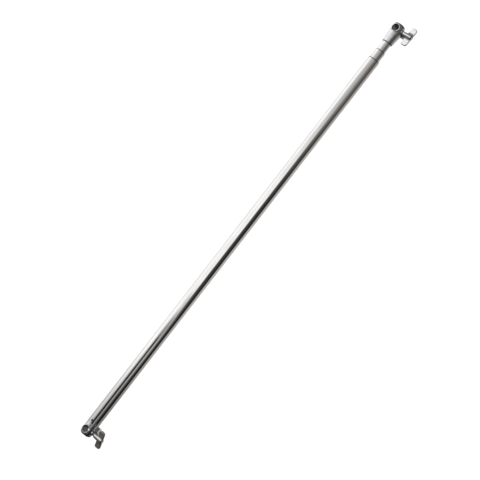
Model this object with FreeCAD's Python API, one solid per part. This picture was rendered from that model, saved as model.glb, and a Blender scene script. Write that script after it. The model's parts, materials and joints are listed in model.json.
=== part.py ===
"""Telescoping pull up bar: three nested tubes with a clamp eye and a wing screw on each end.

Row frame, in millimetres: the bar lies along +X, the bores of both eyes along Z, and the wing screws
point along -Y. The origin is the centre of the near eye's bore.
"""

import FreeCAD, Part

import math
import os

from FreeCAD import Vector

# Bar ------------------------------------------------------------------------------------------
EYE_SPAN = 1170.0  # bore to bore, with both inner tubes pushed home
INNER_SHOWS = 23.2  # inner tube seen between the mid tube's lip and the far socket
MID_SHOWS = 25.5  # from the end of the main tube to the end of the mid tube

# Tubes ----------------------------------------------------------------------------------------
MAIN_OD = 30.0
MAIN_WALL = 1.5
MID_WALL = 1.0
INNER_WALL = 1.2
TUBE_EDGE = 0.5  # chamfer on the outer edge of a tube's mouth

# Eyes -----------------------------------------------------------------------------------------
STUD_D = 16.0  # upright or stud that the eye clamps
STUD_CLEARANCE = 0.2  # on the radius
EYE_WIDTH = 30.6  # length of the bore
EYE_WALL = 6.4  # at the end of the bar
EYE_ROUND = 7.0  # fillet round the end of the bar
EYE_BORE_CHAMFER = 0.7
RING_WALL = 2.4  # raised ring round each mouth of the bore
RING_ROUND = 0.9
NECK_LENGTH = 16.5  # near bore to the end of the main tube
NECK_STEP = 0.3  # near casting below the tube's surface
PLUG_LENGTH = 34.0  # near casting inside the main tube
PLUG_CHAMFER = 1.0
FAR_SHOULDER = 15.5  # far bore to where the socket's flare ends
SOCKET_REACH = 39.7  # far bore to the mouth of the socket
SOCKET_DEPTH = 24.0
SOCKET_WALL = 2.4  # at the mouth
SOCKET_FLARE = 1.6  # growth of the radius from the mouth to the shoulder
SOCKET_CHAMFER = 1.5
RIB_WIDTH = 5.0  # rib from the socket's mouth to the lug, on the screw's side
RIB_AT_MOUTH = 0.5  # how far it stands out at the mouth
RIB_AT_LUG = 2.8
TUBE_END_GAP = 0.5  # behind a tube in its socket

# Buttress lug behind each wing screw ----------------------------------------------------------
LUG_THICKNESS = 4.5
LUG_GAP = 0.9  # to the hub of the wing screw
LUG_REACH = 23.0  # from the bar's axis
LUG_FOOT = 6.0  # start of the lug, inside the casting
LUG_TUBE_GAP = 0.3  # where the near lug passes over the end of the main tube
LUG_CORNER = 3.0
NEAR_LUG_SIDE = 18.6  # furthest edge from the bore, along the bar
FAR_LUG_SIDE = 9.6
LUG_BACK = 3.0  # edge beyond the bore

# Wing screws ----------------------------------------------------------------------------------
THREAD_D = 8.0
THREAD_PITCH = 1.25
THREAD_CLEARANCE = 0.06  # on the radius
BOSS_D = 12.4
BOSS_REACH = 16.7  # from the bar's axis
BOSS_CHAMFER = 0.6
HUB_D = 13.0
HUB_NECK_D = 11.8
HUB_LENGTH = 26.0
HUB_DOME = 2.4
WING_SPAN = 48.0
WING_DEPTH = 16.0  # along the screw
WING_THICKNESS = 4.4
WING_INNER_CORNER = 4.0
WING_OUTER_CORNER = 6.5
WING_EDGE = 1.3  # fillet
WING_FAIRING = 10.0  # hollow radius between the hub and each wing
PAD_D = 7.4
PAD_THICKNESS = 1.8
PAD_SET_BACK = 0.3  # pad behind the bore's wall when the far screw is at rest
TIP_D = 4.0
TIP_LENGTH = 1.0
TIP_CLEARANCE = 0.08
STUD_IN_HUB = 16.0
FAR_HUB_REACH = 18.4  # start of the far hub from the bar's axis
NEAR_BACKED_OFF = 3.5  # how much further out the near screw stands
NEAR_WING_TURN = 32.0  # degrees from the bar, towards +Z at the side of +X
FAR_WING_TURN = -4.0

# Roll pins ------------------------------------------------------------------------------------
ROLL_PIN_D = 5.0
ROLL_PIN_WALL = 1.0
ROLL_PIN_SLOT = 0.9
ROLL_PIN_SUNK = 0.25  # below the surface at each end
PIN_COUNTERSINK = 0.6
NEAR_PIN_FROM_BORE = 24.3
FAR_PIN_FROM_MOUTH = 11.0
FAR_PIN_PAST_TUBE = 1.0  # blind end beyond the tube

# Lip bushes -----------------------------------------------------------------------------------
SLIDE_CLEARANCE = 0.05  # on the radius, tube in bush
MAIN_BUSH_WALL = 0.75
MID_BUSH_WALL = 0.55
BUSH_LENGTH = 28.0
LIP_THICKNESS = 1.5
LIP_STEP = 0.8  # lip's edge inside the tube's outer edge

# Twist locks ----------------------------------------------------------------------------------
LOCK_STUD_D = 8.0
LOCK_PLUG_LENGTH = 20.0
LOCK_PLUG_HEAD = 2.5
SLEEVE_LENGTH = 26.0
SLEEVE_CLEARANCE = 0.15  # on the radius, in the outer tube
SLEEVE_BASE = 5.0  # solid end of the sleeve
SLEEVE_LIP_WALL = 1.1
SLEEVE_GAP = 0.3  # to the plug's head
SLEEVE_SLOT = 1.6
SLEEVE_SLOTS = 4
CONE_ANGLE = 8.0  # half angle, degrees
CONE_LENGTH = 14.0
CONE_PROUD = 3.0  # cone outside the sleeve at rest
CONE_TRAVEL = THREAD_PITCH  # each way, one turn of the stud
CONE_CLEARANCE = 0.06  # left when the cone is fully in
CONE_KEY = 1.2  # width of the keys that run in the sleeve's slots
CONE_KEY_INSET = 0.4  # keys below the sleeve's outside
STOP_NUT_WIDTH = 13.0  # across flats
STOP_NUT_HEIGHT = 4.0
STOP_NUT_GAP = 0.8  # to the cone at the end of its travel
STUD_TAIL = 1.5
HOME_GAP = 3.0  # between a lock's tail and what stops it at home

X = Vector(1, 0, 0)
Y = Vector(0, 1, 0)
Z = Vector(0, 0, 1)
ORIGIN = Vector(0, 0, 0)

# Worked out -----------------------------------------------------------------------------------
BORE_R = STUD_D / 2 + STUD_CLEARANCE
EYE_REACH = BORE_R + EYE_WALL
RING_R = BORE_R + RING_WALL
MAIN_ID = MAIN_OD - 2 * MAIN_WALL
MID_OD = MAIN_ID - 2 * (MAIN_BUSH_WALL + SLIDE_CLEARANCE)
MID_ID = MID_OD - 2 * MID_WALL
INNER_OD = MID_ID - 2 * (MID_BUSH_WALL + SLIDE_CLEARANCE)
INNER_ID = INNER_OD - 2 * INNER_WALL
SOCKET_MOUTH_R = INNER_OD / 2 + SOCKET_WALL
SOCKET_ROOT_R = SOCKET_MOUTH_R + SOCKET_FLARE
THREAD_R = THREAD_D / 2
HOLE_R = THREAD_R + THREAD_CLEARANCE
SOCKET_MOUTH_X = EYE_SPAN - SOCKET_REACH
MID_END_X = SOCKET_MOUTH_X - INNER_SHOWS - LIP_THICKNESS
MAIN_END_X = MID_END_X - MID_SHOWS
LOCK_HEAD_TO_TAIL = (
    LOCK_PLUG_HEAD + SLEEVE_GAP + SLEEVE_LENGTH + CONE_PROUD + CONE_TRAVEL
    + STOP_NUT_GAP + STOP_NUT_HEIGHT + STUD_TAIL
)
MID_START_X = NECK_LENGTH + PLUG_LENGTH + HOME_GAP + LOCK_HEAD_TO_TAIL
INNER_START_X = MID_START_X + LOCK_PLUG_LENGTH + HOME_GAP + LOCK_HEAD_TO_TAIL
NEAR_HUB_REACH = FAR_HUB_REACH + NEAR_BACKED_OFF
HUB_TO_PAD_FACE = FAR_HUB_REACH - BORE_R - PAD_SET_BACK


def rod(radius, start, direction, length):
    return Part.makeCylinder(radius, length, start, direction)


def pipe(outer_r, inner_r, start, direction, length):
    return rod(outer_r, start, direction, length).cut(rod(inner_r, start, direction, length))


def spun(points, axis_point, axis):
    """A solid of revolution from a closed run of points, which lie in one half plane of the axis."""
    face = Part.Face(Part.makePolygon(points + points[:1]))
    return face.revolve(axis_point, axis, 360)


def spun_about_x(stations, x0=0.0):
    """A solid of revolution about the bar's axis from (distance along X, radius) pairs."""
    return spun([Vector(x0 + x, r, 0) for x, r in stations], ORIGIN, X)


def mirrored_to_far_end(shape):
    """The far end looks back along the bar."""
    flipped = shape.mirror(ORIGIN, X)
    flipped.translate(Vector(EYE_SPAN, 0, 0))
    return flipped


# Tubes ----------------------------------------------------------------------------------------
def tube(outer_d, wall, start_x, end_x):
    outer_r = outer_d / 2
    inner_r = outer_r - wall
    return spun_about_x([
        (start_x, inner_r),
        (start_x, outer_r),
        (end_x - TUBE_EDGE, outer_r),
        (end_x, outer_r - TUBE_EDGE),
        (end_x, inner_r),
    ])


def main_tube():
    shell = tube(MAIN_OD, MAIN_WALL, NECK_LENGTH, MAIN_END_X)
    hole = pin_hole(NEAR_PIN_FROM_BORE, Z, MAIN_OD)
    return shell.cut([hole] + countersinks(NEAR_PIN_FROM_BORE, Z, MAIN_OD / 2))


def mid_tube():
    return tube(MID_OD, MID_WALL, MID_START_X, MID_END_X)


def inner_tube():
    shell = tube(INNER_OD, INNER_WALL, INNER_START_X, inner_end_x())
    return shell.cut(far_pin_hole(far_pin_x()))


def inner_end_x():
    return SOCKET_MOUTH_X + SOCKET_DEPTH - TUBE_END_GAP


def far_pin_x():
    return SOCKET_MOUTH_X + FAR_PIN_FROM_MOUTH


def far_pin_hole(x):
    """A blind hole from the side away from the screw, right through the inner tube."""
    bottom = Vector(x, -INNER_OD / 2 - FAR_PIN_PAST_TUBE, 0)
    return rod(ROLL_PIN_D / 2, bottom, Y, INNER_OD + SOCKET_ROOT_R)


# Roll pins ------------------------------------------------------------------------------------
def pin_hole(x, direction, width):
    return rod(ROLL_PIN_D / 2, Vector(x, 0, 0) - direction * width, direction, 2 * width)


def countersinks(x, direction, surface_r):
    mouth_r = ROLL_PIN_D / 2 + PIN_COUNTERSINK
    depth = PIN_COUNTERSINK * 2
    return [Part.makeCone(mouth_r - PIN_COUNTERSINK, mouth_r + PIN_COUNTERSINK, depth,
                          Vector(x, 0, 0) + direction * (side * (surface_r - depth / 2)),
                          direction * side) for side in (-1, 1)]


def roll_pin(x, direction, low, high):
    """A slotted pin across the bar, between two heights along its own direction."""
    length = high - low
    start = Vector(x, 0, 0) + direction * low
    outer_r = ROLL_PIN_D / 2
    body = pipe(outer_r, outer_r - ROLL_PIN_WALL, start, direction, length)
    slot = Part.makeBox(outer_r, ROLL_PIN_SLOT, length, Vector(0, -ROLL_PIN_SLOT / 2, 0))
    slot.Placement = FreeCAD.Placement(start, FreeCAD.Rotation(Z, direction)).multiply(slot.Placement)
    return body.cut(slot)


def socket_r_at(x):
    """Outer radius of the far socket at a place along the bar."""
    share = (x - SOCKET_MOUTH_X) / (SOCKET_REACH - FAR_SHOULDER)
    return SOCKET_MOUTH_R + SOCKET_FLARE * min(1.0, share)


def near_eye_pin():
    reach = MAIN_OD / 2 - ROLL_PIN_SUNK
    return roll_pin(NEAR_PIN_FROM_BORE, Z, -reach, reach)


def far_eye_pin():
    bottom = -INNER_OD / 2 - FAR_PIN_PAST_TUBE
    return roll_pin(far_pin_x(), Y, bottom, socket_r_at(far_pin_x()) - ROLL_PIN_SUNK)


# Eye castings, drawn with the bar running towards +X --------------------------------------------
def eye_ring():
    """A sleeve round the bore that stands out as a ring at each of its mouths."""
    ring = rod(RING_R, Z * (-EYE_WIDTH / 2), Z, EYE_WIDTH)
    rims = [edge for edge in ring.Edges if edge.BoundBox.ZLength < 0.01]
    return ring.makeFillet(RING_ROUND, rims)


def eye_end(body_r):
    """The rounded end of the bar, from beyond the bore to where the stem starts."""
    end = rod(body_r, X * -EYE_REACH, X, EYE_REACH)
    rim = [edge for edge in end.Edges if edge.BoundBox.XMax < 0.01 - EYE_REACH]
    return end.makeFillet(EYE_ROUND, rim)


def eye_bore():
    half = EYE_WIDTH / 2
    over = EYE_WIDTH
    mouth_r = BORE_R + EYE_BORE_CHAMFER
    return spun([
        Vector(0, 0, -over),
        Vector(mouth_r, 0, -over),
        Vector(mouth_r, 0, -half),
        Vector(BORE_R, 0, EYE_BORE_CHAMFER - half),
        Vector(BORE_R, 0, half - EYE_BORE_CHAMFER),
        Vector(mouth_r, 0, half),
        Vector(mouth_r, 0, over),
        Vector(0, 0, over),
    ], ORIGIN, Z)


def screw_boss():
    reach = BOSS_REACH - BORE_R
    body = rod(BOSS_D / 2, Vector(0, -BORE_R, 0), -Y, reach)
    tip = [edge for edge in body.Edges if edge.BoundBox.YMax < 0.01 - BOSS_REACH]
    return body.makeChamfer(BOSS_CHAMFER, tip)


def lug(side):
    """A buttress behind the wing screw, from the casting out towards -Y."""
    low = -LUG_REACH
    outline = Part.makePolygon([
        Vector(-LUG_BACK, -LUG_FOOT, 0),
        Vector(side, -LUG_FOOT, 0),
        Vector(side, low, 0),
        Vector(-LUG_BACK, low, 0),
        Vector(-LUG_BACK, -LUG_FOOT, 0),
    ])
    top = -HUB_D / 2 - LUG_GAP
    block = Part.Face(outline).extrude(Z * -LUG_THICKNESS)
    block.translate(Z * top)
    corners = [e for e in block.Edges if abs(e.BoundBox.ZLength - LUG_THICKNESS) < 0.01
               and e.BoundBox.YMax < 0.01 - LUG_REACH]
    return block.makeFillet(LUG_CORNER, corners)


def socket_rib():
    """A straight rib on the screw's side of the far socket."""
    rib = Part.Face(Part.makePolygon([
        Vector(FAR_LUG_SIDE, -LUG_FOOT, 0),
        Vector(SOCKET_REACH - SOCKET_CHAMFER, -SOCKET_MOUTH_R + SOCKET_CHAMFER, 0),
        Vector(SOCKET_REACH - SOCKET_CHAMFER, -SOCKET_MOUTH_R - RIB_AT_MOUTH, 0),
        Vector(FAR_LUG_SIDE, -SOCKET_ROOT_R - RIB_AT_LUG, 0),
        Vector(FAR_LUG_SIDE, -LUG_FOOT, 0),
    ])).extrude(Z * RIB_WIDTH)
    rib.translate(Z * (-RIB_WIDTH / 2))
    return rib


def eye_casting(stem, body_r, extras, hollow):
    """An eye on a stem that is already a solid along +X, less what is hollow in it."""
    body = stem.fuse([eye_end(body_r), eye_ring(), screw_boss()] + extras)
    screw_hole = rod(HOLE_R, ORIGIN, -Y, 2 * BOSS_REACH)
    return body.cut([eye_bore(), screw_hole] + hollow).removeSplitter()


def near_eye_casting():
    neck_r = MAIN_OD / 2 - NECK_STEP
    plug_r = MAIN_ID / 2
    end = NECK_LENGTH + PLUG_LENGTH
    stem = spun_about_x([
        (0, 0),
        (0, neck_r),
        (NECK_LENGTH, neck_r),
        (NECK_LENGTH, plug_r),
        (end - PLUG_CHAMFER, plug_r),
        (end, plug_r - PLUG_CHAMFER),
        (end, 0),
    ])
    over_tube = rod(MAIN_OD / 2 + LUG_TUBE_GAP, X * NECK_LENGTH, X, NEAR_LUG_SIDE)
    hole = pin_hole(NEAR_PIN_FROM_BORE, Z, MAIN_OD)
    return eye_casting(stem, neck_r, [lug(NEAR_LUG_SIDE).cut(over_tube)], [hole])


def far_eye_casting():
    stem = spun_about_x([
        (0, 0),
        (0, SOCKET_ROOT_R),
        (FAR_SHOULDER, SOCKET_ROOT_R),
        (SOCKET_REACH - SOCKET_CHAMFER, SOCKET_MOUTH_R),
        (SOCKET_REACH, SOCKET_MOUTH_R - SOCKET_CHAMFER),
        (SOCKET_REACH, 0),
    ])
    socket = rod(INNER_OD / 2, X * (SOCKET_REACH - SOCKET_DEPTH), X, SOCKET_DEPTH)
    hole = far_pin_hole(SOCKET_REACH - FAR_PIN_FROM_MOUTH)
    extras = [lug(FAR_LUG_SIDE), socket_rib()]
    casting = eye_casting(stem, SOCKET_ROOT_R, extras, [socket, hole])
    return mirrored_to_far_end(casting)


# Wing screws, drawn about -Y through the origin -------------------------------------------------
def wing_blade(hub_reach):
    half = WING_SPAN / 2
    inner = -(hub_reach + HUB_LENGTH - WING_DEPTH)
    outer = inner - WING_DEPTH
    blade = Part.makeBox(WING_SPAN, WING_DEPTH, WING_THICKNESS,
                         Vector(-half, outer, -WING_THICKNESS / 2))

    def across_at(y):
        return [e for e in blade.Edges if abs(e.BoundBox.ZLength - WING_THICKNESS) < 0.01
                and abs(e.BoundBox.YMax - y) < 0.01]

    blade = blade.makeFillet(WING_INNER_CORNER, across_at(inner))
    blade = blade.makeFillet(WING_OUTER_CORNER, across_at(outer))
    flat_edges = [e for e in blade.Edges if e.BoundBox.ZLength < 0.01]
    return blade.makeFillet(WING_EDGE, flat_edges)


def wing_fairing(hub_reach):
    """The hollow-sided web that blends the hub into both wings."""
    half = WING_THICKNESS / 2
    centre_z = half + WING_FAIRING
    to_centre = HUB_D / 2 + WING_FAIRING
    centre_x = math.sqrt(to_centre ** 2 - centre_z ** 2)
    on_hub = HUB_D / 2 / to_centre
    between = math.atan2(centre_z, centre_x)
    bend = (math.pi / 2 - between) / 2

    def corner(side, up):
        """Wing, middle of the hollow and hub, for one of the four corners."""
        middle_x = centre_x - WING_FAIRING * math.sin(bend)
        middle_z = centre_z - WING_FAIRING * math.cos(bend)
        return (Vector(side * centre_x, 0, up * half), Vector(side * middle_x, 0, up * middle_z),
                Vector(side * centre_x * on_hub, 0, up * centre_z * on_hub))

    edges = []
    for up in (1, -1):
        left, right = corner(-up, up), corner(up, up)
        edges += [
            Part.Arc(left[0], left[1], left[2]).toShape(),
            Part.makeLine(left[2], right[2]),
            Part.Arc(right[2], right[1], right[0]).toShape(),
            Part.makeLine(right[0], Vector(right[0].x, 0, -right[0].z)),
        ]
    web = Part.Face(Part.Wire(edges)).extrude(-Y * (WING_DEPTH - HUB_DOME - WING_EDGE))
    web.translate(-Y * (hub_reach + HUB_LENGTH - WING_DEPTH + WING_EDGE))
    return web


def wing_handle(hub_reach, turn):
    end = hub_reach + HUB_LENGTH
    hub = spun([
        Vector(0, -hub_reach, 0),
        Vector(HUB_NECK_D / 2, -hub_reach, 0),
        Vector(HUB_D / 2, -(end - WING_DEPTH), 0),
        Vector(HUB_D / 2, HUB_DOME - end, 0),
        Vector(HUB_D / 2 - HUB_DOME, -end, 0),
        Vector(0, -end, 0),
    ], ORIGIN, Y)
    handle = hub.fuse([wing_blade(hub_reach), wing_fairing(hub_reach)]).removeSplitter()
    handle = handle.cut(rod(THREAD_R, Vector(0, -hub_reach, 0), -Y, STUD_IN_HUB))
    handle.rotate(ORIGIN, Y, -turn)
    return handle


def pad_face_reach(hub_reach):
    return hub_reach - HUB_TO_PAD_FACE


def wing_stud(hub_reach):
    shoulder = pad_face_reach(hub_reach) + PAD_THICKNESS
    shank = rod(THREAD_R, Vector(0, -shoulder, 0), -Y, hub_reach + STUD_IN_HUB - shoulder)
    tip = rod(TIP_D / 2, Vector(0, TIP_LENGTH - shoulder, 0), -Y, TIP_LENGTH)
    return shank.fuse(tip).removeSplitter()


def clamp_pad(hub_reach):
    face = pad_face_reach(hub_reach)
    pad = rod(PAD_D / 2, Vector(0, -face, 0), -Y, PAD_THICKNESS)
    depth = TIP_LENGTH + TIP_CLEARANCE
    recess = rod(TIP_D / 2 + TIP_CLEARANCE, Vector(0, depth - face - PAD_THICKNESS, 0), -Y, depth)
    return pad.cut(recess)


# Lip bushes -------------------------------------------------------------------------------------
def lip_bush(outer_tube_od, outer_tube_id, slider_od, mouth_x):
    bore_r = slider_od / 2 + SLIDE_CLEARANCE
    lip_r = outer_tube_od / 2 - LIP_STEP
    return spun_about_x([
        (mouth_x - BUSH_LENGTH, bore_r),
        (mouth_x - BUSH_LENGTH, outer_tube_id / 2),
        (mouth_x, outer_tube_id / 2),
        (mouth_x, lip_r),
        (mouth_x + LIP_THICKNESS, lip_r),
        (mouth_x + LIP_THICKNESS, bore_r),
    ])


# Twist locks, each on the end of a tube that starts at tube_x and hangs out towards -X ------------
def lock_plug(tube_id, tube_od, tube_x):
    body = rod(tube_id / 2, X * tube_x, X, LOCK_PLUG_LENGTH)
    head = rod(tube_od / 2, X * (tube_x - LOCK_PLUG_HEAD), X, LOCK_PLUG_HEAD)
    depth = LOCK_PLUG_LENGTH + LOCK_PLUG_HEAD
    hole = rod(LOCK_STUD_D / 2, X * (tube_x - LOCK_PLUG_HEAD), X, depth)
    return body.fuse(head).cut(hole).removeSplitter()


def lock_stud(tube_x):
    return rod(LOCK_STUD_D / 2, X * (tube_x - LOCK_HEAD_TO_TAIL), X,
               LOCK_HEAD_TO_TAIL + LOCK_PLUG_LENGTH)


def sleeve_x(tube_x):
    """The end of the expander sleeve that faces its tube."""
    return tube_x - LOCK_PLUG_HEAD - SLEEVE_GAP


def sleeve_r(outer_tube_id):
    return outer_tube_id / 2 - SLEEVE_CLEARANCE


def cone_mouth_r(outer_tube_id):
    """Inner radius of the sleeve at its open end."""
    return sleeve_r(outer_tube_id) - SLEEVE_LIP_WALL


def expander_sleeve(outer_tube_id, tube_x):
    closed = sleeve_x(tube_x)
    opening = closed - SLEEVE_LENGTH
    outer_r = sleeve_r(outer_tube_id)
    stud_r = LOCK_STUD_D / 2 + SLIDE_CLEARANCE
    cone_depth = SLEEVE_LENGTH - SLEEVE_BASE
    waist_r = cone_mouth_r(outer_tube_id) - cone_depth * math.tan(math.radians(CONE_ANGLE))
    sleeve = spun_about_x([
        (closed, stud_r),
        (closed, outer_r),
        (opening, outer_r),
        (opening, cone_mouth_r(outer_tube_id)),
        (opening + cone_depth, waist_r),
        (opening + cone_depth, stud_r),
    ])
    for i in range(SLEEVE_SLOTS):
        slot = Part.makeBox(cone_depth, 2 * outer_r, SLEEVE_SLOT,
                            Vector(opening, 0, -SLEEVE_SLOT / 2))
        slot.rotate(ORIGIN, X, 360 / SLEEVE_SLOTS * i)
        sleeve = sleeve.cut(slot)
    return sleeve


def cone_nut(outer_tube_id, tube_x):
    """The wedge that the stud draws into the sleeve, with a key in each slot to stop it turning."""
    outer_end = sleeve_x(tube_x) - SLEEVE_LENGTH - CONE_PROUD
    slope = math.tan(math.radians(CONE_ANGLE))
    rest_gap = CONE_CLEARANCE + CONE_TRAVEL * slope
    big_r = cone_mouth_r(outer_tube_id) + CONE_PROUD * slope - rest_gap
    small_r = big_r - CONE_LENGTH * slope
    hole_r = LOCK_STUD_D / 2 + SLIDE_CLEARANCE
    cone = spun_about_x([(0, hole_r), (0, big_r), (CONE_LENGTH, small_r), (CONE_LENGTH, hole_r)],
                        outer_end)
    key_top = sleeve_r(outer_tube_id) - CONE_KEY_INSET
    for i in range(SLEEVE_SLOTS):
        key = Part.makeBox(CONE_LENGTH, key_top - hole_r - 1, CONE_KEY,
                           Vector(outer_end, hole_r + 1, -CONE_KEY / 2))
        key.rotate(ORIGIN, X, 360 / SLEEVE_SLOTS * i)
        cone = cone.fuse(key)
    return cone.removeSplitter()


def stop_nut(tube_x):
    start = tube_x - LOCK_HEAD_TO_TAIL + STUD_TAIL
    corner_r = STOP_NUT_WIDTH / math.sqrt(3)
    corners = [Vector(start, corner_r * math.cos(math.radians(60 * i)),
                      corner_r * math.sin(math.radians(60 * i))) for i in range(6)]
    prism = Part.Face(Part.makePolygon(corners + corners[:1])).extrude(X * STOP_NUT_HEIGHT)
    return prism.cut(rod(LOCK_STUD_D / 2, X * start, X, STOP_NUT_HEIGHT))


PARTS = {
    "near_eye_casting": near_eye_casting(),
    "near_eye_roll_pin": near_eye_pin(),
    "main_tube": main_tube(),
    "main_lip_bush": lip_bush(MAIN_OD, MAIN_ID, MID_OD, MAIN_END_X),
    "mid_tube": mid_tube(),
    "mid_lip_bush": lip_bush(MID_OD, MID_ID, INNER_OD, MID_END_X),
    "mid_lock_plug": lock_plug(MID_ID, MID_OD, MID_START_X),
    "mid_lock_stud": lock_stud(MID_START_X),
    "mid_expander_sleeve": expander_sleeve(MAIN_ID, MID_START_X),
    "mid_cone_nut": cone_nut(MAIN_ID, MID_START_X),
    "mid_stop_nut": stop_nut(MID_START_X),
    "inner_tube": inner_tube(),
    "inner_lock_plug": lock_plug(INNER_ID, INNER_OD, INNER_START_X),
    "inner_lock_stud": lock_stud(INNER_START_X),
    "inner_expander_sleeve": expander_sleeve(MID_ID, INNER_START_X),
    "inner_cone_nut": cone_nut(MID_ID, INNER_START_X),
    "inner_stop_nut": stop_nut(INNER_START_X),
    "far_eye_casting": far_eye_casting(),
    "far_eye_roll_pin": far_eye_pin(),
    "near_wing_handle": wing_handle(NEAR_HUB_REACH, NEAR_WING_TURN),
    "near_wing_stud": wing_stud(NEAR_HUB_REACH),
    "near_clamp_pad": clamp_pad(NEAR_HUB_REACH),
}

FAR_END = {
    "far_wing_handle": wing_handle(FAR_HUB_REACH, FAR_WING_TURN),
    "far_wing_stud": wing_stud(FAR_HUB_REACH),
    "far_clamp_pad": clamp_pad(FAR_HUB_REACH),
}
for name, shape in FAR_END.items():
    shape.translate(X * EYE_SPAN)
    PARTS[name] = shape

os.makedirs("parts", exist_ok=True)
for name, shape in PARTS.items():
    solids = shape.Solids
    assert len(solids) == 1 and shape.isValid(), name
    solids[0].exportStep(f"parts/{name}.step")
    print(f"{name}: {shape.Volume:.0f} mm3")
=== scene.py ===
"""Looks of the telescoping pull up bar: castings, screw threads, materials, studio and camera."""

import json
import math

import bpy
from mathutils import Matrix, Vector


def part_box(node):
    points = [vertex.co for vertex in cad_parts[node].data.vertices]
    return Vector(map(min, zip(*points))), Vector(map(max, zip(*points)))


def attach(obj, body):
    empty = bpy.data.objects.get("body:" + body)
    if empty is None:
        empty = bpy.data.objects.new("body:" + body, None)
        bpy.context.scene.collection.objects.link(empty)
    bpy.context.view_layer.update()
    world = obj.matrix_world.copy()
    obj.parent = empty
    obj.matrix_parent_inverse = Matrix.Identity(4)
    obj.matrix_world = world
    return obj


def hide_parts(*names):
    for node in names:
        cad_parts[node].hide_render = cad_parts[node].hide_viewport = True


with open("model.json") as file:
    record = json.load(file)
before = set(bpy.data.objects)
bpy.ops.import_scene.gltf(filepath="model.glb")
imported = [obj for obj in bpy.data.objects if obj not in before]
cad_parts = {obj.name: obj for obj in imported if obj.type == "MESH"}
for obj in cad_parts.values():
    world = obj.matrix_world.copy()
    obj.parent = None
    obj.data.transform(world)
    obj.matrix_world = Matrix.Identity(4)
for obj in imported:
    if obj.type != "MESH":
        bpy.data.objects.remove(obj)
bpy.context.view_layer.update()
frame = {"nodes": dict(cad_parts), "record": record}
MM = 0.001  # every size below is in metres unless its comment says otherwise

# Camera: a long lens that looks down on the bar from the side of its wing screws -----------------
CAMERA_AZIMUTH = -4.15  # degrees
CAMERA_ELEVATION = 63.8  # degrees
CAMERA_ROLL = 48.6  # degrees; the bar climbs from lower left to upper right
CAMERA_DISTANCE = 3.2
FRAME_WIDTH_AT_BAR = 1.111
AIM_SHORT_OF_MIDDLE = 0.0254  # along the bar, from its middle towards the near eye
AIM_BELOW = 0.0095  # across the line of sight, under the bar
SENSOR = 36.0  # millimetres

# Studio ------------------------------------------------------------------------------------------
FLOOR_DROP = 0.30  # floor below the bar's axis
FLOOR_SIDE = 2.6  # floor's reach to the left, right and back
FLOOR_FRONT = 1.5
SKY = 1.8  # brightness of the brightest part of the surroundings
BACKDROP = 0.72  # share of SKY that the camera sees past the floor
ROOM_WARMTH = 0.12  # how far the dark parts lean to brown
WARM_UNDER = 0.4  # tone under which the surroundings start to lean
WASH_PLACE = (0, 0.2, 2.4)  # lamp over the floor, from the bar's middle
WASH_SIZE = (3.2, 3.0)
WASH_RADIANCE = 2.6
CARD_PLACE = (0.5, 0.65, 1.25)  # lamp past the far end, from that end
CARD_SIZE = (0.55, 0.55)
CARD_RADIANCE = 0.45

# Surroundings as (degrees round the bar, share of SKY): towards its near end, straight across it and
# towards its far end. 0 is overhead, 90 in front, -90 behind and 180 underneath.
NEAR_TONES = [(-180, 0.45), (-90, 0.72), (-58, 1.0), (-40, 0.90), (-25, 0.72), (-14, 0.44), (-3, 0.08),
              (4, 0.0), (13, 0.0), (22, 0.12), (32, 0.44), (42, 0.38), (52, 0.12), (70, 0.05), (80, 0.0),
              (98, 0.0), (110, 0.18), (120, 0.36), (140, 0.32), (180, 0.45)]
MIDDLE_TONES = [(-180, 0.45), (-90, 0.72), (-58, 0.98), (-40, 0.84), (-10, 0.82), (12, 0.92), (22, 0.76),
                (32, 0.20), (42, 0.02), (60, 0.05), (78, 0.01), (98, 0.0), (106, 0.16), (118, 0.38),
                (180, 0.42)]
FAR_TONES = [(-180, 0.45), (-90, 0.76), (-58, 1.0), (-40, 0.78), (-20, 0.50), (0, 0.38), (20, 0.36),
             (40, 0.21), (60, 0.12), (98, 0.05), (120, 0.31), (180, 0.42)]

# The X of a direction picks between them: -1 points along the bar past its near end, 1 past its far end.
NEAR_TO_MIDDLE = (-0.058, -0.024)
MIDDLE_TO_FAR = (0.07, 0.165)
END_SHADE = [(-1.0, 0.06), (-0.55, 0.12), (-0.13, 0.56), (-0.07, 1.0), (0.35, 1.0), (0.62, 0.28),
             (1.0, 0.15)]

# Castings and threads ----------------------------------------------------------------------------
CAST_VOXEL = 0.30 * MM
CAST_SMOOTHING = 8  # passes
CAST_THINNING = 0.3  # share of the triangles kept
BORE_REACH = 9.0 * MM  # faces nearer than this to a bore's axis take the dark colour that paints the shade inside the bore
BORE_TILT = 0.35  # most that a face's normal may point along the bore and still take the painted bore shade
THREAD_PITCH = 1.25 * MM
THREAD_DEPTH = 0.68 * MM
THREAD_SLOPE = 2.7  # shares of the depth that a flank would fall in one pitch
THREAD_CREST = 0.15  # share of the depth cut off at the crest, which leaves it flat
THREAD_COLUMNS = 48
THREAD_ROWS_PER_TURN = 10
TIP_LENGTH = 1.0 * MM  # unthreaded tip of a stud, inside its pad
TIP_RADIUS = 2.0 * MM


def bar_middle():
    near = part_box("near_eye_casting")[0].x
    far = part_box("far_eye_casting")[1].x
    return Vector(((near + far) / 2, 0, 0))


def link(obj):
    bpy.context.scene.collection.objects.link(obj)
    return obj


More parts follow.
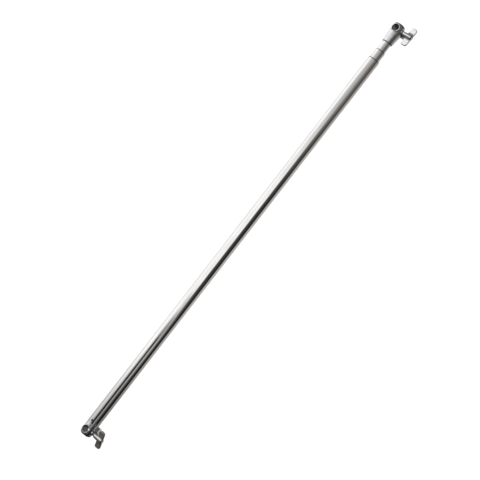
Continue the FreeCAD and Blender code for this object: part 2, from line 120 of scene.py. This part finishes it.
# Camera, floor and light -------------------------------------------------------------------------
def make_camera():
    azimuth = math.radians(CAMERA_AZIMUTH)
    elevation = math.radians(CAMERA_ELEVATION)
    level = math.cos(elevation)
    back = Vector((math.sin(azimuth) * level, -math.cos(azimuth) * level, math.sin(elevation)))
    right = Vector((math.cos(azimuth), math.sin(azimuth), 0))
    up = back.cross(right)
    target = bar_middle() - Vector((AIM_SHORT_OF_MIDDLE, 0, 0)) - up * AIM_BELOW
    upright = Matrix((right, up, back)).transposed().to_4x4()
    roll = Matrix.Rotation(math.radians(-CAMERA_ROLL), 4, "Z")
    data = bpy.data.cameras.new("camera")
    data.sensor_width = SENSOR
    data.lens = SENSOR * CAMERA_DISTANCE / FRAME_WIDTH_AT_BAR
    data.clip_end = 50
    camera = link(bpy.data.objects.new("camera", data))
    camera.matrix_world = Matrix.Translation(target + back * CAMERA_DISTANCE) @ upright @ roll
    bpy.context.scene.camera = camera


def softbox(name, centre, target, size, radiance):
    """A rectangular lamp whose face has the given brightness."""
    data = bpy.data.lights.new(name, "AREA")
    data.shape = "RECTANGLE"
    data.size, data.size_y = size
    data.energy = radiance * math.pi * size[0] * size[1]
    lamp = link(bpy.data.objects.new(name, data))
    lamp.location = centre
    lamp.rotation_mode = "QUATERNION"
    lamp.rotation_quaternion = (Vector(centre) - Vector(target)).to_track_quat("Z", "Y")
    return lamp


def ramp_of(tree, factor, low, high, stops):
    """A colour ramp over low to high from (value, tone) pairs, whose dark tones lean to brown."""
    span = tree.nodes.new("ShaderNodeMapRange")
    span.inputs["From Min"].default_value = low
    span.inputs["From Max"].default_value = high
    tree.links.new(factor, span.inputs["Value"])
    ramp = tree.nodes.new("ShaderNodeValToRGB")
    elements = ramp.color_ramp.elements
    while len(elements) < len(stops):
        elements.new(0.5)
    for element, (value, tone) in zip(elements, stops):
        element.position = (value - low) / (high - low)
        warmth = ROOM_WARMTH * max(0.0, 1.0 - tone / WARM_UNDER)
        element.color = (tone * (1 + warmth), tone, tone * (1 - warmth), 1)
    tree.links.new(span.outputs["Result"], ramp.inputs["Fac"])
    return ramp.outputs["Color"]


def blend(tree, first, second, value, low, high):
    """First below low and second above high, with a soft change between."""
    mix = tree.nodes.new("ShaderNodeMixRGB")
    reach = tree.nodes.new("ShaderNodeMapRange")
    reach.interpolation_type = "SMOOTHSTEP"
    reach.inputs["From Min"].default_value = low
    reach.inputs["From Max"].default_value = high
    tree.links.new(value, reach.inputs["Value"])
    tree.links.new(reach.outputs["Result"], mix.inputs["Fac"])
    tree.links.new(first, mix.inputs["Color1"])
    tree.links.new(second, mix.inputs["Color2"])
    return mix.outputs["Color"]


def make_world():
    """A pale sweep over and behind the bar, a dim room in front of it, and shade past both of its ends."""
    world = bpy.data.worlds.new("studio")
    bpy.context.scene.world = world
    world.use_nodes = True
    tree = world.node_tree
    where = tree.nodes.new("ShaderNodeTexCoord")
    split = tree.nodes.new("ShaderNodeSeparateXYZ")
    tree.links.new(where.outputs["Generated"], split.inputs["Vector"])
    forward = tree.nodes.new("ShaderNodeMath")
    forward.operation = "MULTIPLY"
    forward.inputs[1].default_value = -1.0
    tree.links.new(split.outputs["Y"], forward.inputs[0])
    round_bar = tree.nodes.new("ShaderNodeMath")
    round_bar.operation = "ARCTAN2"
    tree.links.new(forward.outputs["Value"], round_bar.inputs[0])
    tree.links.new(split.outputs["Z"], round_bar.inputs[1])
    degrees = tree.nodes.new("ShaderNodeMath")
    degrees.operation = "DEGREES"
    tree.links.new(round_bar.outputs["Value"], degrees.inputs[0])
    angle = degrees.outputs["Value"]
    along = split.outputs["X"]
    near_end = ramp_of(tree, angle, -180, 180, NEAR_TONES)
    middle = ramp_of(tree, angle, -180, 180, MIDDLE_TONES)
    far_end = ramp_of(tree, angle, -180, 180, FAR_TONES)
    tone = blend(tree, near_end, middle, along, *NEAR_TO_MIDDLE)
    tone = blend(tree, tone, far_end, along, *MIDDLE_TO_FAR)
    shade = tree.nodes.new("ShaderNodeMixRGB")
    shade.blend_type = "MULTIPLY"
    shade.inputs["Fac"].default_value = 1.0
    tree.links.new(tone, shade.inputs["Color1"])
    tree.links.new(ramp_of(tree, along, -1, 1, END_SHADE), shade.inputs["Color2"])
    seen = tree.nodes.new("ShaderNodeMixRGB")
    seen.inputs["Color2"].default_value = (BACKDROP, BACKDROP, BACKDROP, 1)
    path = tree.nodes.new("ShaderNodeLightPath")
    tree.links.new(shade.outputs["Color"], seen.inputs["Color1"])
    tree.links.new(path.outputs["Is Camera Ray"], seen.inputs["Fac"])
    background = tree.nodes["Background"]
    tree.links.new(seen.outputs["Color"], background.inputs["Color"])
    background.inputs["Strength"].default_value = SKY


def make_floor():
    """Plain paper under the bar, left out of the chrome's reflections."""
    middle = bar_middle().x
    left, right = middle - FLOOR_SIDE, middle + FLOOR_SIDE
    mesh = bpy.data.meshes.new("floor")
    mesh.from_pydata([(left, -FLOOR_FRONT, -FLOOR_DROP), (right, -FLOOR_FRONT, -FLOOR_DROP),
                      (right, FLOOR_SIDE, -FLOOR_DROP), (left, FLOOR_SIDE, -FLOOR_DROP)],
                     [], [(0, 1, 2, 3)])
    floor = link(bpy.data.objects.new("floor", mesh))
    floor.visible_glossy = False
    material, shader = new_material("floor_paper")
    shader.inputs["Base Color"].default_value = (0.93, 0.93, 0.93, 1)
    shader.inputs["Roughness"].default_value = 0.85
    mesh.materials.append(material)


def make_lights():
    """A lamp for the floor that the chrome doesn't show, and a card that brightens the far wings."""
    middle = bar_middle()
    wash = softbox("floor_wash", middle + Vector(WASH_PLACE), middle, WASH_SIZE, WASH_RADIANCE)
    wash.visible_glossy = False
    far = Vector((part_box("far_eye_casting")[1].x, 0, 0))
    softbox("far_card", far + Vector(CARD_PLACE), far, CARD_SIZE, CARD_RADIANCE)


# Materials ---------------------------------------------------------------------------------------
def new_material(name):
    material = bpy.data.materials.new(name)
    material.use_nodes = True
    return material, material.node_tree.nodes["Principled BSDF"]


def noise(tree, stretch, detail=2.0, roughness=0.5):
    """Noise in the part's own frame, with features of 1 m divided by stretch along each axis."""
    where = tree.nodes.new("ShaderNodeTexCoord")
    mapping = tree.nodes.new("ShaderNodeMapping")
    mapping.inputs["Scale"].default_value = stretch
    texture = tree.nodes.new("ShaderNodeTexNoise")
    texture.inputs["Scale"].default_value = 1.0
    texture.inputs["Detail"].default_value = detail
    texture.inputs["Roughness"].default_value = roughness
    tree.links.new(where.outputs["Object"], mapping.inputs["Vector"])
    tree.links.new(mapping.outputs["Vector"], texture.inputs["Vector"])
    return texture.outputs["Fac"]


def remap(tree, value, low, high, to_low, to_high):
    node = tree.nodes.new("ShaderNodeMapRange")
    node.inputs["From Min"].default_value = low
    node.inputs["From Max"].default_value = high
    node.inputs["To Min"].default_value = to_low
    node.inputs["To Max"].default_value = to_high
    tree.links.new(value, node.inputs["Value"])
    return node.outputs["Result"]


def combine(tree, first, second, operation="ADD"):
    node = tree.nodes.new("ShaderNodeMath")
    node.operation = operation
    tree.links.new(first, node.inputs[0])
    tree.links.new(second, node.inputs[1])
    return node.outputs["Value"]


def tint(tree, shader, value, dark, light):
    mix = tree.nodes.new("ShaderNodeMixRGB")
    mix.inputs["Color1"].default_value = (*dark, 1)
    mix.inputs["Color2"].default_value = (*light, 1)
    tree.links.new(value, mix.inputs["Fac"])
    tree.links.new(mix.outputs["Color"], shader.inputs["Base Color"])


def bump(tree, shader, height, depth):
    node = tree.nodes.new("ShaderNodeBump")
    node.inputs["Strength"].default_value = 1.0
    node.inputs["Distance"].default_value = depth
    tree.links.new(height, node.inputs["Height"])
    tree.links.new(node.outputs["Normal"], shader.inputs["Normal"])


def tube_chrome(name, scuffs):
    """Plate over drawn tube: faint lines along the bar, hand smudges, and scuffs from sliding."""
    material, shader = new_material(name)
    tree = material.node_tree
    shader.inputs["Metallic"].default_value = 1.0
    lines = noise(tree, (6, 2600, 2600), 3, 0.6)
    smudges = noise(tree, (22, 60, 60), 4, 0.6)
    scratches = remap(tree, noise(tree, (14, 1500, 1500), 1), 0.66, 0.72, 0.0, scuffs)
    gloss = combine(tree, remap(tree, smudges, 0.35, 0.75, 0.045, 0.12),
                    remap(tree, lines, 0.3, 0.7, 0.0, 0.03))
    tree.links.new(combine(tree, gloss, scratches), shader.inputs["Roughness"])
    tint(tree, shader, remap(tree, smudges, 0.3, 0.8, 0.0, 1.0), (0.60, 0.596, 0.594), (0.555, 0.55, 0.548))
    bump(tree, shader, combine(tree, lines, scratches, "SUBTRACT"), 0.004 * MM)
    return material


def casting_chrome(name, rough):
    """Satin plate over a polished die casting: a slight orange peel, duller patches and fine pores."""
    material, shader = new_material(name)
    tree = material.node_tree
    shader.inputs["Metallic"].default_value = 1.0
    peel = noise(tree, (520, 520, 520), 2, 0.5)
    cloud = noise(tree, (150, 150, 150), 4, 0.6)
    grain = noise(tree, (3200, 3200, 3200), 2, 0.5)
    pores = remap(tree, noise(tree, (1500, 1500, 1500), 1), 0.70, 0.76, 0.0, 0.5)
    gloss = combine(tree, remap(tree, cloud, 0.3, 0.75, rough, rough + 0.10),
                    remap(tree, grain, 0.4, 0.8, 0.0, 0.05))
    tree.links.new(gloss, shader.inputs["Roughness"])
    tint(tree, shader, remap(tree, cloud, 0.3, 0.8, 0.0, 1.0), (0.605, 0.61, 0.62), (0.55, 0.555, 0.565))
    skin = combine(tree, peel, remap(tree, grain, 0, 1, 0, 0.08))
    bump(tree, shader, combine(tree, skin, pores, "SUBTRACT"), 0.03 * MM)
    return material


def painted_shade_bore():
    """Painted shade in a bore: a dark base colour stands in for the shade inside the hole, over a reamed
    face with turning marks round it under a thin uneven film.
    """
    material, shader = new_material("painted_shade_bore")
    tree = material.node_tree
    shader.inputs["Metallic"].default_value = 1.0
    marks = noise(tree, (60, 60, 3600), 2, 0.6)
    film = noise(tree, (300, 300, 300), 3, 0.6)
    tree.links.new(remap(tree, film, 0.3, 0.7, 0.10, 0.2), shader.inputs["Roughness"])
    # the dark tint is painted shade for the inside of the bore, lighter and darker along the turning marks
    tint(tree, shader, remap(tree, marks, 0.3, 0.7, 0.0, 1.0), (0.03, 0.03, 0.029), (0.10, 0.098, 0.096))
    bump(tree, shader, marks, 0.01 * MM)
    return material


def turned_steel(name, dark, light, rough):
    """Steel with fine turning marks across the bar's screws and a cloudy finish."""
    material, shader = new_material(name)
    tree = material.node_tree
    shader.inputs["Metallic"].default_value = 1.0
    marks = noise(tree, (500, 3000, 500), 2, 0.6)
    cloud = noise(tree, (260, 260, 260), 3, 0.6)
    tree.links.new(remap(tree, cloud, 0.3, 0.75, rough, rough + 0.16), shader.inputs["Roughness"])
    tint(tree, shader, remap(tree, cloud, 0.3, 0.7, 0.0, 1.0), dark, light)
    bump(tree, shader, marks, 0.01 * MM)
    return material


def moulded_plastic(name, dark, light, rough):
    material, shader = new_material(name)
    tree = material.node_tree
    skin = noise(tree, (1800, 1800, 1800), 3, 0.6)
    cloud = noise(tree, (200, 200, 200), 2, 0.5)
    tree.links.new(remap(tree, skin, 0.3, 0.7, rough, rough + 0.12), shader.inputs["Roughness"])
    tint(tree, shader, remap(tree, cloud, 0.3, 0.7, 0.0, 1.0), dark, light)
    bump(tree, shader, skin, 0.03 * MM)
    return material


# Pieces ------------------------------------------------------------------------------------------
def body_of(node):
    return next(body for body, members in frame["record"]["behaviour"]["bodies"].items() if node in members)


def stand_in(piece, node):
    """The piece takes the place of a CAD node on the same body."""
    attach(piece, body_of(node))
    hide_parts(node)


def cast_copy(node, name):
    """The node's own shape with the small fillets that a casting has at every corner."""
    rough = link(bpy.data.objects.new(name + "_rough", frame["nodes"][node].data.copy()))
    remesh = rough.modifiers.new("voxels", "REMESH")
    remesh.mode = "VOXEL"
    remesh.voxel_size = CAST_VOXEL
    remesh.use_smooth_shade = True
    smooth = rough.modifiers.new("smooth", "SMOOTH")
    smooth.factor = 0.5
    smooth.iterations = CAST_SMOOTHING
    thin = rough.modifiers.new("thin", "DECIMATE")
    thin.ratio = CAST_THINNING
    shown = rough.evaluated_get(bpy.context.evaluated_depsgraph_get())
    mesh = bpy.data.meshes.new_from_object(shown)
    mesh.name = name
    bpy.data.objects.remove(rough)
    mesh.materials.clear()
    for polygon in mesh.polygons:
        polygon.use_smooth = True
    piece = link(bpy.data.objects.new(name, mesh))
    stand_in(piece, node)
    return piece


def eye(node, name, mount, chrome, bore):
    """A cast eye whose bore faces take a dark material that paints the shade inside the bore."""
    piece = cast_copy(node, name)
    piece.data.materials.append(chrome)
    piece.data.materials.append(bore)
    axis_at = next(Vector(m["pos_m"]) for m in frame["record"]["mounts"] if m["name"] == mount)
    for polygon in piece.data.polygons:
        offset = polygon.center - axis_at
        inside = math.hypot(offset.x, offset.y) < BORE_REACH
        facing_axis = polygon.normal.x * offset.x + polygon.normal.y * offset.y < 0
        # faces inside the bore take the painted bore shade
        if inside and facing_axis and abs(polygon.normal.z) < BORE_TILT:
            polygon.material_index = 1


def threaded_stud(node, name, material):
    """A stud with a left-hand helical thread, as long and as thick as the CAD stud, along -Y."""
    low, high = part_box(node)
    centre_x = (low.x + high.x) / 2
    centre_z = (low.z + high.z) / 2
    crest = (high.x - low.x) / 2
    step = THREAD_PITCH / THREAD_ROWS_PER_TURN
    rows = round((high.y - low.y) / step)
    tip_rows = round(TIP_LENGTH / step)
    points = []
    for row in range(rows + 1):
        y = high.y - (high.y - low.y) * row / rows
        for column in range(THREAD_COLUMNS):
            share = column / THREAD_COLUMNS
            phase = ((high.y - y) / THREAD_PITCH + share) % 1.0
            depth = min(1.0, max(0.0, abs(phase - 0.5) * THREAD_SLOPE - THREAD_CREST))
            radius = crest - THREAD_DEPTH * depth
            if row <= tip_rows:
                radius = TIP_RADIUS
            angle = 2 * math.pi * share
            points.append((centre_x + radius * math.cos(angle), y, centre_z + radius * math.sin(angle)))
    faces = []
    for row in range(rows):
        for column in range(THREAD_COLUMNS):
            a = row * THREAD_COLUMNS + column
            b = row * THREAD_COLUMNS + (column + 1) % THREAD_COLUMNS
            faces.append((a, b, b + THREAD_COLUMNS, a + THREAD_COLUMNS))
    faces.append(tuple(reversed(range(THREAD_COLUMNS))))
    faces.append(tuple(range(rows * THREAD_COLUMNS, (rows + 1) * THREAD_COLUMNS)))
    mesh = bpy.data.meshes.new(name)
    mesh.from_pydata(points, [], faces)
    mesh.materials.append(material)
    stand_in(link(bpy.data.objects.new(name, mesh)), node)


def paint(material, *names):
    """CAD nodes that keep their own shape take a material."""
    for name in names:
        mesh = frame["nodes"][name].data
        mesh.materials.clear()
        mesh.materials.append(material)


def dress():
    casting = casting_chrome("casting_chrome", 0.13)
    satin = casting_chrome("socket_satin", 0.25)
    # dark material that paints the shade inside both eyes' bores
    bore = painted_shade_bore()
    screw = turned_steel("screw_steel", (0.42, 0.42, 0.42), (0.58, 0.58, 0.57), 0.2)
    pin = turned_steel("pin_steel", (0.10, 0.10, 0.10), (0.22, 0.215, 0.21), 0.3)
    nylon = moulded_plastic("black_nylon", (0.012, 0.012, 0.013), (0.028, 0.028, 0.03), 0.42)
    acetal = moulded_plastic("white_acetal", (0.74, 0.74, 0.70), (0.82, 0.82, 0.80), 0.35)
    paint(tube_chrome("main_chrome", 0.05), "main_tube")
    paint(tube_chrome("slider_chrome", 0.16), "mid_tube", "inner_tube")
    paint(pin, "near_eye_roll_pin", "far_eye_roll_pin")
    paint(nylon, "main_lip_bush", "mid_lip_bush", "mid_expander_sleeve", "inner_expander_sleeve")
    paint(acetal, "mid_lock_plug", "inner_lock_plug", "mid_cone_nut", "inner_cone_nut")
    paint(screw, "mid_lock_stud", "inner_lock_stud", "mid_stop_nut", "inner_stop_nut",
          "near_clamp_pad", "far_clamp_pad")
    eye("near_eye_casting", "near_eye_cast", "near_eye_bore", casting, bore)
    eye("far_eye_casting", "far_eye_cast", "far_eye_bore", satin, bore)
    for end in ("near", "far"):
        cast_copy(f"{end}_wing_handle", f"{end}_wing_cast").data.materials.append(casting)
        threaded_stud(f"{end}_wing_stud", f"{end}_wing_thread", screw)


bpy.context.scene.view_settings.view_transform = "Standard"
make_camera()
make_world()
make_floor()
make_lights()
dress()
